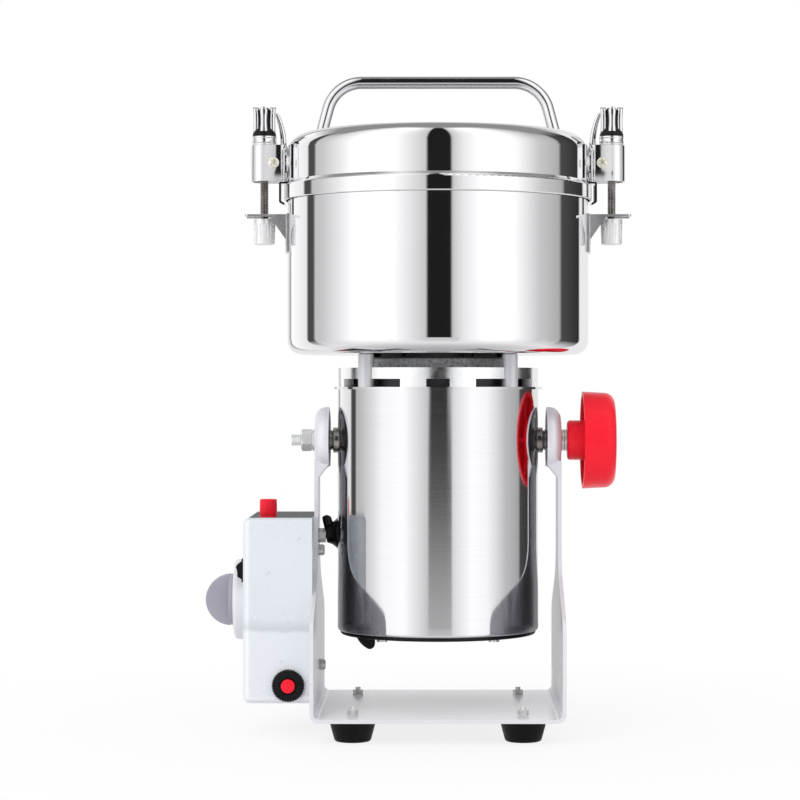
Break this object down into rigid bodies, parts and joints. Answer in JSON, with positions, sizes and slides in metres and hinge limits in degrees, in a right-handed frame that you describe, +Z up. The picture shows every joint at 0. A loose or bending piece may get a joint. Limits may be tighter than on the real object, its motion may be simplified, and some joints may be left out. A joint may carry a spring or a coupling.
{
  "type": "electric grain mill",
  "caption": "Tilting electric grain mill: a lidded steel bowl on a motor housing, hung in a bent sheet stand with a control box.",
  "frame": {"origin": "on the floor, under the middle of the bounding box; the mill's own axis stands 13.2 mm to the right of it", "axes": "+Z up, +X to the right as seen from the front (the tilt knob's side), +Y to the back"},
  "size_m": [0.2826, 0.2048, 0.4352],
  "materials": {
    "polished_steel": "polished stainless steel with fine lines",
    "bright_chrome": "bright plating",
    "zinc_steel": "zinc plated steel",
    "stand_chrome": "chrome plated sheet",
    "box_chrome": "chrome plated sheet",
    "red_plastic": "glossy red",
    "black_plastic": "satin black",
    "grey_plastic": "semi-gloss grey",
    "pale_plastic": "satin pale grey",
    "black_rubber": "matt black",
    "pale_rubber": "matt translucent white",
    "cast_alloy": "machined casting",
    "grey_casting": "rough casting",
    "core_iron": "stacked laminations",
    "copper_wire": "varnished copper",
    "brass_fittings": "plain brass"
  },
  "bodies": {
    "stand": {"stand_frame": "stand_chrome", "rubber_feet": "black_rubber", "foot_fasteners": "zinc_steel", "control_box_shell": "box_chrome", "control_box_base": "box_chrome", "box_screws": "zinc_steel", "timer_body": "black_plastic", "timer_dial": "pale_plastic", "switch_bodies": "black_plastic", "overload_ring": "black_plastic", "mains_inlet": "black_rubber", "lead_gland": "zinc_steel", "motor_lead": "black_rubber"},
    "mill": {"motor_housing": "polished_steel", "housing_bottom_cover": "black_plastic", "motor_boot": "black_rubber", "housing_screws": "zinc_steel", "lower_bracket": "cast_alloy", "end_bracket": "cast_alloy", "bearings": "zinc_steel", "motor_frame": "zinc_steel", "stator_core": "core_iron", "field_coils": "copper_wire", "brush_gear": "brass_fittings", "support_posts": "cast_alloy", "neck_ring": "grey_casting", "shaft_seal": "black_rubber", "grinding_bowl": "polished_steel", "bowl_brackets": "polished_steel", "pivot_studs": "zinc_steel", "pivot_washers": "zinc_steel"},
    "rotor": {"rotor_core": "core_iron", "commutator": "copper_wire", "motor_shaft": "zinc_steel", "cooling_fan": "black_plastic", "lower_blade": "polished_steel", "upper_blade": "polished_steel", "blade_spacers": "polished_steel", "blade_nut": "polished_steel"},
    "lid_group": {"lid": "polished_steel", "lid_gasket": "pale_rubber", "lid_handle": "bright_chrome", "lid_fasteners": "zinc_steel", "lid_brackets": "polished_steel", "clamp_yokes": "bright_chrome"},
    "clamp_right": {"guide_block_right": "zinc_steel"},
    "clamp_left": {"guide_block_left": "zinc_steel"},
    "knob_right": {"clamp_knob_right": "bright_chrome"},
    "knob_left": {"clamp_knob_left": "bright_chrome"},
    "rod_right": {"clamp_rod_right": "zinc_steel"},
    "rod_left": {"clamp_rod_left": "zinc_steel"},
    "nut_right": {"tension_nut_right": "zinc_steel"},
    "nut_left": {"tension_nut_left": "zinc_steel"},
    "tilt_handwheel": {"tilt_knob": "red_plastic", "tilt_knob_insert": "brass_fittings"},
    "timer_dial_knob": {"timer_knob": "grey_plastic"},
    "start_key": {"start_button": "red_plastic"},
    "reset_key": {"reset_button": "red_plastic"},
    "rocker_key": {"power_rocker": "black_plastic"}
  },
  "joints": [
    {"name": "mill_tilt", "type": "hinge", "parent": "stand", "child": "mill", "pos_m": [0.0132, 0, 0.193], "axis": [1, 0, 0], "range_deg": [-90, 90]},
    {"name": "tilt_knob_turn", "type": "hinge", "parent": "mill", "child": "tilt_handwheel", "pos_m": [0.1092, 0, 0.193], "axis": [1, 0, 0], "continuous": true},
    {"name": "rotor_spin", "type": "hinge", "parent": "mill", "child": "rotor", "pos_m": [0.0132, 0, 0.15], "axis": [0, 0, 1], "continuous": true},
    {"name": "lid_lift", "type": "slide", "parent": "mill", "child": "lid_group", "axis": [0, 0, 1], "range_m": [0, 0.04]},
    {"name": "clamp_swing_right", "type": "hinge", "parent": "lid_group", "child": "clamp_right", "pos_m": [0.1219, 0, 0.3768], "axis": [0, -1, 0], "range_deg": [0, 15]},
    {"name": "clamp_swing_left", "type": "hinge", "parent": "lid_group", "child": "clamp_left", "pos_m": [-0.0955, 0, 0.3768], "axis": [0, 1, 0], "range_deg": [0, 15]},
    {"name": "rod_slide_right", "type": "slide", "parent": "clamp_right", "child": "rod_right", "axis": [0, 0, 1], "range_m": [-0.04, 0]},
    {"name": "rod_slide_left", "type": "slide", "parent": "clamp_left", "child": "rod_left", "axis": [0, 0, 1], "range_m": [-0.04, 0]},
    {"name": "knob_spin_right", "type": "hinge", "parent": "clamp_right", "child": "knob_right", "pos_m": [0.1289, 0, 0.4], "axis": [0, 0, 1], "continuous": true},
    {"name": "knob_spin_left", "type": "hinge", "parent": "clamp_left", "child": "knob_left", "pos_m": [-0.1025, 0, 0.4], "axis": [0, 0, 1], "continuous": true},
    {"name": "nut_spin_right", "type": "hinge", "parent": "rod_right", "child": "nut_right", "pos_m": [0.1289, 0, 0.332], "axis": [0, 0, 1], "continuous": true},
    {"name": "nut_spin_left", "type": "hinge", "parent": "rod_left", "child": "nut_left", "pos_m": [-0.1025, 0, 0.332], "axis": [0, 0, 1], "continuous": true},
    {"name": "timer_turn", "type": "hinge", "parent": "stand", "child": "timer_dial_knob", "pos_m": [-0.125, 0, 0.087], "axis": [1, 0, 0], "range_deg": [0, 300]},
    {"name": "start_press", "type": "slide", "parent": "stand", "child": "start_key", "axis": [0, 0, -1], "range_m": [0, 0.0025], "stiffness_N_per_m": 400, "springref_m": -0.002},
    {"name": "reset_press", "type": "slide", "parent": "stand", "child": "reset_key", "axis": [0, 1, 0], "range_m": [0, 0.002], "stiffness_N_per_m": 400, "springref_m": -0.002},
    {"name": "rocker_tip", "type": "hinge", "parent": "stand", "child": "rocker_key", "pos_m": [-0.1135, -0.03, 0.1085], "axis": [0, 1, 0], "range_deg": [0, 18]}
  ],
  "couplings": [
    {"joint": "rod_slide_right", "follows": "lid_lift", "ratio": -1},
    {"joint": "rod_slide_left", "follows": "lid_lift", "ratio": -1}
  ]
}
